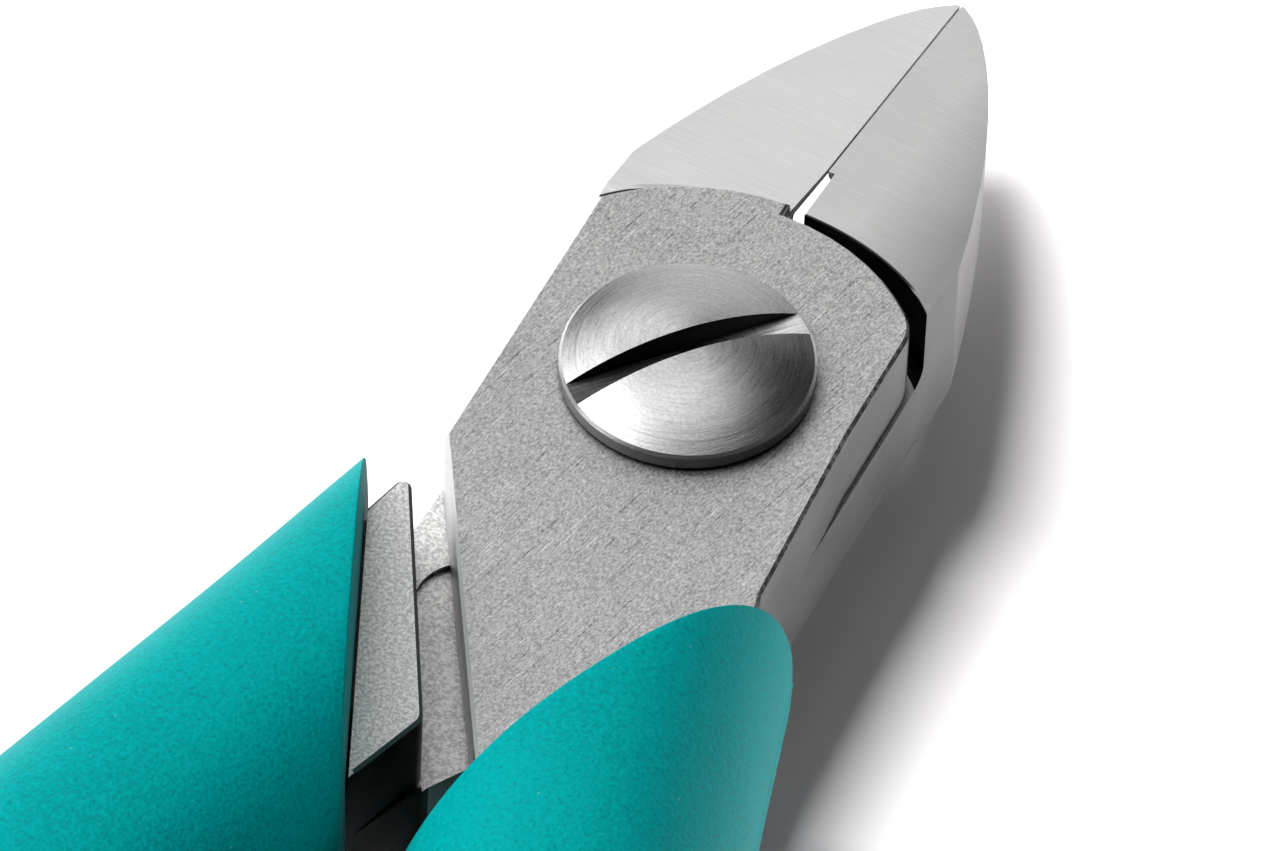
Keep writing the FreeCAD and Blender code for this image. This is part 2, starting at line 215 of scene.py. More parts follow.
def hermite(rows, at):
    """Smooth values between rows whose first entry rises; at is a value of that first entry."""
    index = 0
    while index < len(rows) - 2 and rows[index + 1][0] <= at:
        index += 1
    low, high = rows[index], rows[index + 1]
    before = rows[max(index - 1, 0)]
    after = rows[min(index + 2, len(rows) - 1)]
    span = high[0] - low[0]
    t = (at - low[0]) / span
    result = []
    for k in range(1, len(low)):
        slope_low = (high[k] - before[k]) / (high[0] - before[0])
        slope_high = (after[k] - low[k]) / (after[0] - low[0])
        result.append(
            low[k] * (2 * t ** 3 - 3 * t ** 2 + 1) + high[k] * (3 * t ** 2 - 2 * t ** 3)
            + span * (slope_low * (t ** 3 - 2 * t ** 2 + t) + slope_high * (t ** 3 - t ** 2))
        )
    return result


def power(value, exponent):
    return math.copysign(abs(value) ** exponent, value)


# ---- grips ----

def grip_point(behind, angle, share=1.0, roundness=GRIP_ROUNDNESS):
    """Point of the right grip's skin, or of a smaller section inside it."""
    outer, inner, half = hermite(GRIP_STATIONS, behind)
    across = power(math.cos(angle), 2 / roundness)
    up = power(math.sin(angle), 2 / roundness)
    seam = SEAM_HEIGHT * math.exp(-(up * half / SEAM_WIDTH) ** 2) if share == 1.0 else 0.0
    half_w = (outer - inner) / 2 * share + seam
    return Vector(((outer + inner) / 2 + half_w * across, -behind, half * share * up))


def in_front_of_mouth(at):
    """Distance of a point in front of the right grip's drafted front cut."""
    angle = math.radians(MOUTH_ANGLE)
    flat = (at.x - MOUTH_CORNER[0]) * -math.cos(angle) + (at.y - MOUTH_CORNER[1]) * math.sin(angle)
    return flat + abs(at.z) * math.tan(math.radians(MOUTH_DRAFT))


def mouth_distance(angle):
    """How far behind the pivot the skin meets the front cut, at one angle round the section."""
    low, high = MOUTH_SEARCH
    for _ in range(MOUTH_HALVINGS):
        middle = (low + high) / 2
        if in_front_of_mouth(grip_point(middle, angle)) > 0:
            low = middle
        else:
            high = middle
    return high


def tang_ring(angle, depth):
    """Point of the rounded rectangle where the tang goes into the mouth."""
    turn = math.radians(MOUTH_ANGLE)
    front, rear = TANG_MOUTH
    along = (front + rear) / 2 - (rear - front) / 2 * power(math.cos(angle), TANG_SQUARENESS)
    height = TANG_HALF_T * power(math.sin(angle), TANG_SQUARENESS)
    back = depth + abs(height) * math.tan(math.radians(MOUTH_DRAFT))
    x = MOUTH_CORNER[0] - along * math.sin(turn) + back * math.cos(turn)
    y = MOUTH_CORNER[1] - along * math.cos(turn) - back * math.sin(turn)
    return Vector((x, y, height))


def angles_round():
    """Angles round the section, closer together at the mould seam."""
    steps = []
    for k in range(GRIP_AROUND):
        even = 2 * math.pi * k / GRIP_AROUND
        steps.append(even - SEAM_CROWDING * math.sin(2 * even))
    return steps


def add_ring(work, points):
    return [work.verts.new(place(p)) for p in points]


def join_rings(work, first, second):
    count = len(first)
    for k in range(count):
        work.faces.new((first[k], first[(k + 1) % count], second[(k + 1) % count], second[k]))


def close_ring(work, ring, tip):
    pole = work.verts.new(place(tip))
    for k in range(len(ring)):
        work.faces.new((ring[k], ring[(k + 1) % len(ring)], pole))


def round_edges(work, edges, radius, segments):
    bmesh.ops.bevel(
        work, geom=edges, offset=radius * MM, segments=segments, profile=0.5, affect="EDGES"
    )


def grip_shell(work, side):
    """The grip's skin, its front face, and the hollow for the tang and the liner; returns its rim."""
    def sided(p):
        return Vector((side * p.x, p.y, p.z))

    turns = angles_round()
    starts = [mouth_distance(a) for a in turns]
    last = GRIP_STATIONS[-1][0]
    skin = []
    for row in range(GRIP_RINGS + 1):
        share = row / GRIP_RINGS
        points = [sided(grip_point(s + (last - s) * share, a)) for s, a in zip(starts, turns)]
        skin.append(add_ring(work, points))
    for first, second in zip(skin[:-1], skin[1:]):
        join_rings(work, first, second)
    end = GRIP_STATIONS[-1]
    close_ring(work, skin[-1], (side * (end[1] + end[2]) / 2, -last - END_DOME, 0.0))

    depths = (0.0, TANG_HOLE_DEPTH)
    inner = [add_ring(work, [sided(tang_ring(a, depth)) for a in turns]) for depth in depths]
    join_rings(work, skin[0], inner[0])
    join_rings(work, inner[0], inner[1])
    behind = CORE_START
    previous = inner[1]
    while behind <= CORE_END:
        points = [sided(grip_point(behind, a, CORE_SHARE, CORE_ROUNDNESS)) for a in turns]
        ring = add_ring(work, points)
        join_rings(work, previous, ring)
        previous = ring
        behind += CORE_STEP
    outer, inside, _ = hermite(GRIP_STATIONS, CORE_END)
    close_ring(work, previous, (side * (outer + inside) / 2, -CORE_END - CORE_DOME, 0.0))
    return skin[0]


def window_block(side):
    work = bmesh.new()
    low = [work.verts.new(place((side * x, y, -WINDOW_HALF_H))) for x, y in WINDOW]
    high = [work.verts.new(place((side * x, y, WINDOW_HALF_H))) for x, y in WINDOW]
    join_rings(work, low, high)
    work.faces.new(low)
    work.faces.new(high)
    uprights = [e for e in work.edges if abs(e.verts[0].co.z - e.verts[1].co.z) > MM]
    round_edges(work, uprights, WINDOW_CORNER_R, WINDOW_SEGMENTS)
    return mesh_object("window_cutter", work)


def make_grip(name, side):
    work = bmesh.new()
    rim = set(grip_shell(work, side))
    rim_edges = [e for e in work.edges if e.verts[0] in rim and e.verts[1] in rim]
    round_edges(work, rim_edges, RIM_RADIUS, RIM_SEGMENTS)
    grip = mesh_object(name, work)
    cutter = window_block(side)
    cut = grip.modifiers.new("window", "BOOLEAN")
    cut.operation = "DIFFERENCE"
    cut.solver = "EXACT"
    cut.object = cutter
    apply_modifiers(grip)
    bpy.data.objects.remove(cutter)
    shade_smooth(grip.data)
    return grip


def apply_modifiers(thing):
    """Put the result of an object's modifiers into its mesh."""
    graph = bpy.context.evaluated_depsgraph_get()
    result = bpy.data.meshes.new_from_object(thing.evaluated_get(graph))
    thing.modifiers.clear()
    thing.data = result


# ---- leaf springs ----

def leaf_frame(at):
    """Position and sideways direction on the right leaf's middle line; at counts its points."""
    rows = [(k,) + xy for k, xy in enumerate(LEAF_PATH)]
    here = Vector(hermite(rows, at))
    ahead = Vector(hermite(rows, min(at + LEAF_PROBE, len(LEAF_PATH) - 1)))
    behind = Vector(hermite(rows, max(at - LEAF_PROBE, 0)))
    along = (ahead - behind).normalized()
    return here, Vector((-along.y, along.x))


def leaf_section(half_h):
    """Outline of the leaf's section, with rounded long edges, as (sideways, up)."""
    outline = []
    corners = [(1, 1, 0), (-1, 1, 90), (-1, -1, 180), (1, -1, 270)]
    for side, up, start in corners:
        for step in range(LEAF_CORNER_POINTS):
            turn = math.radians(start + 90 * step / (LEAF_CORNER_POINTS - 1))
            outline.append((
                side * (LEAF_HALF_T - LEAF_EDGE) + LEAF_EDGE * math.cos(turn),
                up * (half_h - LEAF_EDGE) + LEAF_EDGE * math.sin(turn),
            ))
    return outline


def make_leaf(name, side):
    work = bmesh.new()
    rings = []
    last = len(LEAF_PATH) - 1
    for step in range(LEAF_STEPS + 1):
        middle, sideways = leaf_frame(last * step / LEAF_STEPS)
        to_tip = min(max(0.0, (middle.y - LEAF_PATH[-1][1]) / LEAF_TIP_TAPER), 1.0)
        widening = math.sin(to_tip * math.pi / 2)
        half_h = LEAF_TIP_HALF_H + (LEAF_HALF_H - LEAF_TIP_HALF_H) * widening
        points = []
        for across, up in leaf_section(half_h):
            at = middle + sideways * across
            points.append((side * at.x, at.y, up))
        rings.append(add_ring(work, points))
    for first, second in zip(rings[:-1], rings[1:]):
        join_rings(work, first, second)
    work.faces.new(rings[0])
    work.faces.new(rings[-1])
    return mesh_object(name, work)


# ---- materials ----

# Lengths are in millimetres and shades are linear brightness. A pair of numbers for a place is the
# range over which a finish fades in. "Up" is the size of the z of a face's normal, and a "turn" is
# its x or y. A gain multiplies a shade.
NOISE_SPAN = (0.3, 0.7)         # most of a noise lies between these
AO_SAMPLES = 8

# detail and roughness of each kind of noise
PATCHY = (2.0, 0.5)
GRAINY = (2.0, 0.6)
SPECKLY = (2.0, 0.7)
STREAKY = (3.0, 0.6)
GRITTY = (3.0, 0.7)
RINGED = (4.0, 0.75)

# steel halves: places
SIDE_UP = (0.3, 0.5)            # a side's normal is below this
JAW_TOP_TURN = (0.15, 0.2)      # the jaws' tops fall forwards, towards the tips
JAW_TOP_UP = (0.9, 0.95)
ROOT_RADIUS = (6.98, 7.0)       # the jaws' flat roots, from the pivot axis and ahead of it
ROOT_AHEAD = (4.0, 4.2)
ROOT_UP = (0.98, 0.99)
COARSE_FADE = 0.3               # length over which fine blasting turns coarse
CHAMFER_UP = (0.45, 0.6)
CHAMFER_NOT_FLAT = (0.93, 0.85)
CHEEK_TURN = (-0.42, -0.46)     # the slanted rear sides of the lap plates
# the groove's walls, painted light on one half and painted shade on the other
WALL_TOP = (2.66, 2.6)          # groove walls stay below the lap plate's top edge
WALL_AHEAD = (3.0, 3.2)
WALL_RADIUS = (7.2, 7.13)
WALL_HAND = (-0.1, 0.3)         # from the filled half of the groove to its open half: painted light to painted shade
OUTER_SIDE_TURN = (0.975, 0.99)
# behind these, the tang and the recess behind the lap plate are painted near black as shade
TANG_BEHIND = (-17.3, -17.8)
RECESS_HEIGHT = (2.4, 2.2)      # below the shank's top, from the pivot's height
RECESS_BEHIND = (-14.45, -14.75)
JAW_SIDE_AHEAD = (7.0, 7.6)
LAP_FACE_HEIGHT = (1.0, 0.5)    # above the pivot's height
JAW_ACROSS = (1.7, 4.6)         # from beside the cutting edge to beside the outer side
RIGHT_EDGE_TURN = (0.3, 0.5)     # edges that face right get painted shade in dashes, and others are worn bright

# steel halves: textures, with the cells per millimetre along each axis
BLAST_TURN = 14.0               # degrees from the tool's length, in plan
GRAIN_CELLS = (19.0, 8.5, 14.0)
LUMP_CELLS = 4.0
LUMP_SHARE = 0.2
SCRATCH_CELLS = (17.0, 0.5, 1.0)
BRIGHT_SCRATCH = (0.6, 0.72)    # parts of the scratches' noise
DARK_SCRATCH = (0.4, 0.3)
SPECKLE_CELLS = 9.5
GRINDING_TURN = 4.0
GRINDING_CELLS = (0.6, 15.0, 15.0)
BRUSHING_CELLS = (1.2, 0.45, 15.0)
PATCH_CELLS = 0.35
SHADE_DASH_CELLS = 5.0
SHADE_DASH_SPAN = (0.42, 0.62)             # part of the noise that breaks the painted shade into dashes
SCRATCH_DEPTH = 0.25            # shares of the bump's height
SPECKLE_DEPTH = 0.45
LINE_DEPTH = 0.5

# steel halves: shades
BLAST_SHADES = (0.27, 0.74)
BRIGHT_SCRATCH_SHADE = 0.22
DARK_SCRATCH_SHADE = 0.18
COARSE_SHADES = (0.56, 0.98)
# painted light on the low lap face
LAP_FACE_PAINTED_LIGHT_GAIN = 1.06
GRINDING_GAIN = (0.93, 1.07)
# sides painted dark as shade, the jaws' sides less so, and the slanted rear cheeks painted lighter as
# light
SIDE_PAINTED_SHADE = 0.10
JAW_SIDE_PAINTED_SHADE = 0.20
BRUSHING_GAIN = (0.5, 1.5)
CHEEK_PAINTED_LIGHT = 0.5
# painted shade in dashes on edges facing right
RIGHT_EDGE_PAINTED_SHADES = (0.08, 0.28)
WORN_SHADE = 0.86
COARSE_EDGE_SHADE = 0.22
# painted shade on the tang and its recess
TANG_AND_RECESS_PAINTED_SHADE = 0.02
PATCH_SHADES = (-0.02, 0.02)
# painted shade in the steel's crevices: reach, where darkest, where open, darkest share
STEEL_CREVICE_PAINTED_SHADE = (0.8, 0.15, 0.55, 0.06)
# painted light and painted shade of the groove's two halves
FILLED_WALL_PAINTED_LIGHT = 0.6
OPEN_WALL_PAINTED_SHADE = 0.015
STEEL_WARMTH = 0.008
BLAST_ROUGHNESS = (0.50, 0.60)
GRINDING_ROUGHNESS = (0.30, 0.40)
BRUSHING_ROUGHNESS = (0.30, 0.42)
EDGE_ROUGHNESS = (0.28, 0.8)    # of worn edges, and of edges in the coarse blasting
WORN_METALLIC = 0.25

# screw and nut
RINGS_PER_MM = 15.0
RING_WANDER = 0.9               # how soon a ring changes as it goes round
TURNED_GRIT_CELLS = 13.0
TURNED_SHADES = (0.40, 0.58)
TURNED_GRIT = (0.25, 0.75)
TURNED_GRIT_GAIN = (0.75, 1.25)
DEEP_RING_INNER = (3.1, 3.14)   # a deeper tool mark near the rim
DEEP_RING_OUTER = (3.2, 3.16)
DEEP_RING_SHADE = 0.4
SLOT_STREAK_CELLS = (0.5, 18.0)
SLOT_RUN = (-2.0, 3.4)          # along the slot, its floor is painted brighter as light
SLOT_FLOOR_PAINTED_LIGHT = (0.14, 0.85)
SLOT_STREAK = (0.35, 0.65)
SLOT_STREAK_GAIN = (0.55, 1.35)
SLOT_FLOOR_UP = (0.99, 0.998)
SLOT_FLOOR_NEAR = 0.02          # height to either side of the slot's floor
SLOT_FLOOR_FAR = 0.05
WALL_UP = (0.3, 0.15)
SKIRT_RADIUS = (3.5, 3.55)
RIM_UP = (0.6, 0.65)
RIM_NOT_FLAT = (0.8, 0.75)
# painted shade on steep walls, among them the slot's, and on the skirt
STEEP_WALL_PAINTED_SHADE = 0.05
SKIRT_PAINTED_SHADE = 0.14
RIM_SHADE = 0.8
# painted shade in the turned parts' crevices: reach, where darkest, where open, darkest share
TURNED_CREVICE_PAINTED_SHADE = (0.6, 0.2, 0.7, 0.1)
TURNED_WARMTH = 0.004
TURNED_ROUGHNESS = (0.24, 0.36)
RING_DEPTH = 0.8                # shares of the bump's height
TURNED_GRIT_DEPTH = 0.5
TURNED_BUMP = 0.005
TURNED_ANISOTROPY = 0.75

# grips
PEBBLE_CELLS = 7.5
FINE_PEBBLE_CELLS = 14.0
TONE_CELLS = 0.25
DUST_CELLS = 1.6
DUST_SIZE = (0.085, 0.03)       # as a share of a cell
DUST_RARITY = (0.6, 0.64)
DUST_SHARE = 0.5
TEALS = ((0.0, 0.395, 0.402, 1.0), (0.0, 0.435, 0.442, 1.0))
PEBBLE_TOP = (0.4, 0.7)
PEBBLE_TOP_COLOUR = (0.0, 0.50, 0.507, 1.0)
PEBBLE_GAP = (0.42, 0.28)
PEBBLE_GAP_COLOUR = (0.0, 0.33, 0.337, 1.0)
DUST_COLOUR = (0.25, 0.62, 0.60, 1.0)
# painted shade in the grips' crevices, and the near-black colour it falls to
GRIP_CREVICE_PAINTED_SHADE = (4.0, 0.3, 0.7, 0.0)
CREVICE_PAINTED_SHADE_COLOUR = (0.0, 0.015, 0.017, 1.0)
GRIP_ROUGHNESS = (0.50, 0.62)
PEBBLE_DEPTH = 0.75             # shares of the bump's height
FINE_PEBBLE_DEPTH = 0.25
DUST_DEPTH = 0.4
GRIP_BUMP = 0.03
GRIP_SPECULAR = 0.06
GRIP_SPECULAR_TINT = (0.3, 1.0, 1.0, 1.0)
GRIP_SHEEN = 0.05
GRIP_SHEEN_ROUGHNESS = 0.3
GRIP_SHEEN_TINT = (0.7, 1.0, 1.0, 1.0)

# hard liners
LINER_TEXTURE_CELLS = 6.0
LINER_FLOW_CELLS = (0.5, 0.08, 0.5)
LINER_SHADES = (0.018, 0.028)
LINER_WARMTH = -0.02
LINER_ROUGHNESS = (0.42, 0.58)
LINER_BUMP = 0.012

# leaf springs
STRIP_LINE_CELLS = (0.6, 0.25, 14.0)
STRIP_STAIN_CELLS = 0.6
# near black: partly bluing, partly painted shade for the gap between the grips
STRIP_BLUED_AND_PAINTED_SHADES = (0.05, 0.08)
STRIP_STAIN_GAIN = (0.8, 1.1)
STRIP_WARMTH = -0.03
STRIP_ROUGHNESS = (0.24, 0.36)
STRIP_BUMP = 0.003

# rivets
RIVET_MARK_CELLS = 3.0
RIVET_GRIT_CELLS = 9.0
RIVET_SHADES = (0.42, 0.55)
RIVET_WARMTH = 0.01
RIVET_ROUGHNESS = (0.34, 0.48)
RIVET_BUMP = 0.02

# floor
FLOOR_CLOUD_CELLS = 0.01
FLOOR_COLOURS = ((0.57, 0.555, 0.565, 1.0), (0.59, 0.575, 0.585, 1.0))
FLOOR_ROUGHNESS = 0.8
FLOOR_SPECULAR = 0.1


class Nodes:
    """Short calls for building one material's node tree."""

    def __init__(self, name):
        self.material = bpy.data.materials.new(name)
        self.material.use_nodes = True
        self.tree = self.material.node_tree
        self.tree.nodes.clear()
        self.shader = self.add("ShaderNodeBsdfPrincipled")
        output = self.add("ShaderNodeOutputMaterial")
        self.tree.links.new(self.shader.outputs["BSDF"], output.inputs["Surface"])
        coordinates = self.add("ShaderNodeTexCoord")
        # object coordinates in millimetres, about the frame's origin
        self.at = self.vector("SCALE", coordinates.outputs["Object"], scale=1 / MM)
        self.normal = coordinates.outputs["Normal"]

    def add(self, kind, **settings):
        node = self.tree.nodes.new(kind)
        for key, value in settings.items():
            setattr(node, key, value)
        return node

    def feed(self, socket, value):
        """Link an input to another node's output, or set it to a constant."""
        if isinstance(value, bpy.types.NodeSocket):
            self.tree.links.new(value, socket)
        else:
            socket.default_value = value

    def math(self, operation, first, second=0.0):
        node = self.add("ShaderNodeMath", operation=operation)
        self.feed(node.inputs[0], first)
        self.feed(node.inputs[1], second)
        return node.outputs[0]

    def times(self, first, *others):
        result = first
        for other in others:
            result = self.math("MULTIPLY", result, other)
        return result

    def vector(self, operation, first, second=None, scale=None):
        node = self.add("ShaderNodeVectorMath", operation=operation)
        self.feed(node.inputs[0], first)
        if second is not None:
            self.feed(node.inputs[1], second)
        if scale is not None:
            node.inputs["Scale"].default_value = scale
        return node.outputs["Value"] if operation == "LENGTH" else node.outputs["Vector"]

    def split(self, vector):
        node = self.add("ShaderNodeSeparateXYZ")
        self.feed(node.inputs[0], vector)
        return node.outputs

    def stretched(self, vector, turn, scales):
        """Coordinates turned about Z by some degrees and then scaled along each axis."""
        turned = self.add("ShaderNodeVectorRotate", rotation_type="Z_AXIS")
        self.feed(turned.inputs["Vector"], vector)
        turned.inputs["Angle"].default_value = math.radians(turn)
        return self.vector("MULTIPLY", turned.outputs[0], scales)

    def noise(self, vector, kind, cells=1.0):
        node = self.add("ShaderNodeTexNoise")
        self.feed(node.inputs["Vector"], vector)
        node.inputs["Scale"].default_value = cells
        node.inputs["Detail"].default_value = kind[0]
        node.inputs["Roughness"].default_value = kind[1]
        return node.outputs["Fac"]

    def cells(self, vector, scale, feature="F1"):
        node = self.add("ShaderNodeTexVoronoi", feature=feature)
        self.feed(node.inputs["Vector"], vector)
        node.inputs["Scale"].default_value = scale
        return node.outputs

    def remap(self, value, low, high, new_low=0.0, new_high=1.0, smooth=True):
        kind = "SMOOTHSTEP" if smooth else "LINEAR"
        node = self.add("ShaderNodeMapRange", interpolation_type=kind)
        for socket, number in zip(node.inputs[:5], (value, low, high, new_low, new_high)):
            self.feed(socket, number)
        return node.outputs["Result"]

    def spread(self, noise, results, span=NOISE_SPAN):
        """A noise's usual span turned evenly into another range."""
        return self.remap(noise, span[0], span[1], results[0], results[1], False)

    def mix(self, share, first, second):
        node = self.add("ShaderNodeMix", data_type="FLOAT")
        self.feed(node.inputs[0], share)
        self.feed(node.inputs[2], first)
        self.feed(node.inputs[3], second)
        return node.outputs[0]

    def mix_colour(self, share, first, second):
        node = self.add("ShaderNodeMix", data_type="RGBA")
        self.feed(node.inputs[0], share)
        self.feed(node.inputs[6], first)
        self.feed(node.inputs[7], second)
        return node.outputs[2]

    def grey(self, value, warmth):
        """A colour from one brightness, a little warm or cold."""
        node = self.add("ShaderNodeCombineColor")
        self.feed(node.inputs[0], self.times(value, 1 + warmth))
        self.feed(node.inputs[1], value)
        self.feed(node.inputs[2], self.times(value, 1 - warmth))
        return node.outputs[0]

    def bump(self, height, distance):
        """Normal from a height from 0 to 1 that stands for a distance in millimetres."""
        node = self.add("ShaderNodeBump")
        node.inputs["Strength"].default_value = 1.0
        node.inputs["Distance"].default_value = distance * MM
        self.feed(node.inputs["Height"], height)
        return node.outputs["Normal"]

    def painted_crevice_shade(self, reach, dark_at, open_at, darkest):
        """Painted shade: 1 on open surfaces, falling to darkest in crevices narrower than a reach in
        millimetres.
        """
        node = self.add("ShaderNodeAmbientOcclusion", samples=AO_SAMPLES)
        node.inputs["Distance"].default_value = reach * MM
        return self.remap(node.outputs["AO"], dark_at, open_at, darkest, 1.0, False)

    def set(self, name, value):
        self.feed(self.shader.inputs[name], value)


def steel(name, grain, coarse_behind, jaw_tones_and_painted_shade):
    """Forged steel half: blasted laps, jaws ground across, sides brushed lengthwise. Shade is painted
    in crevices, on the tang and its recess, on the sides, in dashes along edges facing right and
    across the lower jaw, and light is painted on the lap face, the rear cheeks and one wall of the
    groove.

    Flat faces further behind the pivot than coarse_behind have a coarser blasting. The jaw's
    shades are those of its top face beside the cutting edge and beside its outer side."""
    n = Nodes(name)
    normal = n.split(n.normal)
    from_pivot = n.vector("SUBTRACT", n.at, tuple(pivot / MM))
    right, forwards, above = n.split(from_pivot)
    radius = n.vector("LENGTH", n.vector("MULTIPLY", from_pivot, (1.0, 1.0, 0.0)))
    height = n.math("ABSOLUTE", above)

    # where each finish lies, as a share from 0 to 1
    facing_up = n.math("ABSOLUTE", normal[2])
    side = n.remap(facing_up, *SIDE_UP, 1.0, 0.0)
    sloping = n.times(n.remap(normal[1], *JAW_TOP_TURN), n.remap(facing_up, *JAW_TOP_UP))
    root = n.times(n.remap(radius, *ROOT_RADIUS), n.remap(forwards, *ROOT_AHEAD))
    jaw_top = n.math("MAXIMUM", sloping, n.times(root, n.remap(facing_up, *ROOT_UP)))
    coarse = n.remap(forwards, -coarse_behind, -coarse_behind - COARSE_FADE)
    chamfer = n.times(n.remap(facing_up, *CHAMFER_UP), n.remap(facing_up, *CHAMFER_NOT_FLAT))
    cheek = n.times(side, n.remap(normal[1], *CHEEK_TURN))
    outer_side = n.remap(n.math("ABSOLUTE", normal[0]), *OUTER_SIDE_TURN)
    near_groove = n.times(n.remap(forwards, *WALL_AHEAD), n.remap(radius, *WALL_RADIUS))
    inside = n.times(n.remap(height, *WALL_TOP), n.math("SUBTRACT", 1.0, outer_side))
    groove_wall_painted = n.times(near_groove, inside)
    hand = n.times(right, n.math("SIGN", above))
    recess = n.math("MAXIMUM", side, n.remap(height, *RECESS_HEIGHT))
    recess = n.times(recess, n.remap(forwards, *RECESS_BEHIND))
    tang_and_recess_painted_shade = n.math("MAXIMUM", n.remap(forwards, *TANG_BEHIND), recess)
    jaw_side = n.remap(forwards, *JAW_SIDE_AHEAD)
    lap_face_painted_light = n.remap(above, *LAP_FACE_HEIGHT)

    # bead blasting: small round grains, and long fine handling scratches over them
    grains = n.noise(n.stretched(n.at, BLAST_TURN, GRAIN_CELLS), GRAINY)
    lumps = n.noise(n.at, GRAINY, LUMP_CELLS)
    scratches = n.noise(n.stretched(n.at, BLAST_TURN, SCRATCH_CELLS), GRAINY)
    bright_scratch = n.remap(scratches, *BRIGHT_SCRATCH)
    dark_scratch = n.remap(scratches, *DARK_SCRATCH)
    blasted = n.math("ADD", n.times(grains, 1 - LUMP_SHARE), n.times(lumps, LUMP_SHARE))
    speckled = n.remap(n.noise(n.at, SPECKLY, SPECKLE_CELLS), *NOISE_SPAN)

    # ground across the jaws, and brushed along the sides
    across = n.noise(n.stretched(n.at, GRINDING_TURN, GRINDING_CELLS), STREAKY)
    along = n.noise(n.vector("MULTIPLY", n.at, BRUSHING_CELLS), STREAKY)
    patches = n.noise(n.at, PATCHY, PATCH_CELLS)
    shade_dashes = n.remap(n.noise(n.at, GRITTY, SHADE_DASH_CELLS), *SHADE_DASH_SPAN)

    fine_value = n.spread(blasted, BLAST_SHADES)
    fine_value = n.math("ADD", fine_value, n.times(bright_scratch, BRIGHT_SCRATCH_SHADE))
    fine_value = n.math("SUBTRACT", fine_value, n.times(dark_scratch, DARK_SCRATCH_SHADE))
    # the low lap face painted a little lighter as light
    coarse_value = n.times(n.mix(speckled, *COARSE_SHADES), n.mix(lap_face_painted_light, 1.0, LAP_FACE_PAINTED_LIGHT_GAIN))
    # a jaw top painted darker towards its outer side is painted shade
    jaw_value = n.spread(n.math("ABSOLUTE", right), jaw_tones_and_painted_shade, JAW_ACROSS)
    jaw_value = n.times(jaw_value, n.spread(across, GRINDING_GAIN))
    # sides painted dark as shade, less dark on the jaws
    brushed_side_with_painted_shade = n.mix(jaw_side, SIDE_PAINTED_SHADE, JAW_SIDE_PAINTED_SHADE)
    brushed_side_with_painted_shade = n.times(brushed_side_with_painted_shade, n.spread(along, BRUSHING_GAIN))
    # edges facing right painted dark in dashes as shade; other edges worn bright
    worn_edge_and_painted_shade = n.mix(n.remap(normal[0], *RIGHT_EDGE_TURN), WORN_SHADE, n.mix(shade_dashes, *RIGHT_EDGE_PAINTED_SHADES))
    value = n.mix(coarse, fine_value, coarse_value)
    value = n.mix(jaw_top, value, jaw_value)
    value = n.mix(side, value, brushed_side_with_painted_shade)
    # rear cheeks painted lighter as light
    value = n.mix(cheek, value, CHEEK_PAINTED_LIGHT)
    value = n.mix(chamfer, value, n.mix(coarse, worn_edge_and_painted_shade, COARSE_EDGE_SHADE))
    # the tang and the recess painted near black as shade
    value = n.mix(tang_and_recess_painted_shade, value, TANG_AND_RECESS_PAINTED_SHADE)
    value = n.math("ADD", value, n.spread(patches, PATCH_SHADES))
    # crevices and contact lines painted darker as shade
    value = n.times(value, n.painted_crevice_shade(*STEEL_CREVICE_PAINTED_SHADE))
    # groove walls painted light on the filled half and painted shade on the open half, over the
    # crevice shade
    groove_wall_painted_light_and_shade = n.remap(hand, *WALL_HAND, FILLED_WALL_PAINTED_LIGHT, OPEN_WALL_PAINTED_SHADE)
    value = n.mix(groove_wall_painted, value, groove_wall_painted_light_and_shade)
    n.set("Base Color", n.grey(value, STEEL_WARMTH))

    rough = n.spread(blasted, BLAST_ROUGHNESS)
    rough = n.mix(jaw_top, rough, n.spread(across, GRINDING_ROUGHNESS))
    rough = n.mix(side, rough, n.spread(along, BRUSHING_ROUGHNESS))
    n.set("Roughness", n.mix(chamfer, rough, n.mix(coarse, *EDGE_ROUGHNESS)))

    relief = n.math("ADD", blasted, n.times(bright_scratch, -SCRATCH_DEPTH))
    relief = n.mix(coarse, relief, n.times(speckled, SPECKLE_DEPTH))
    relief = n.mix(jaw_top, relief, n.times(across, LINE_DEPTH))
    relief = n.mix(side, relief, n.times(along, LINE_DEPTH))
    n.set("Normal", n.bump(relief, grain))
    # worn edges scatter the light and so look white, as bare metal seen through scratches does
    n.set("Metallic", n.mix(chamfer, 1.0, n.mix(coarse, WORN_METALLIC, 1.0)))
    return n.material


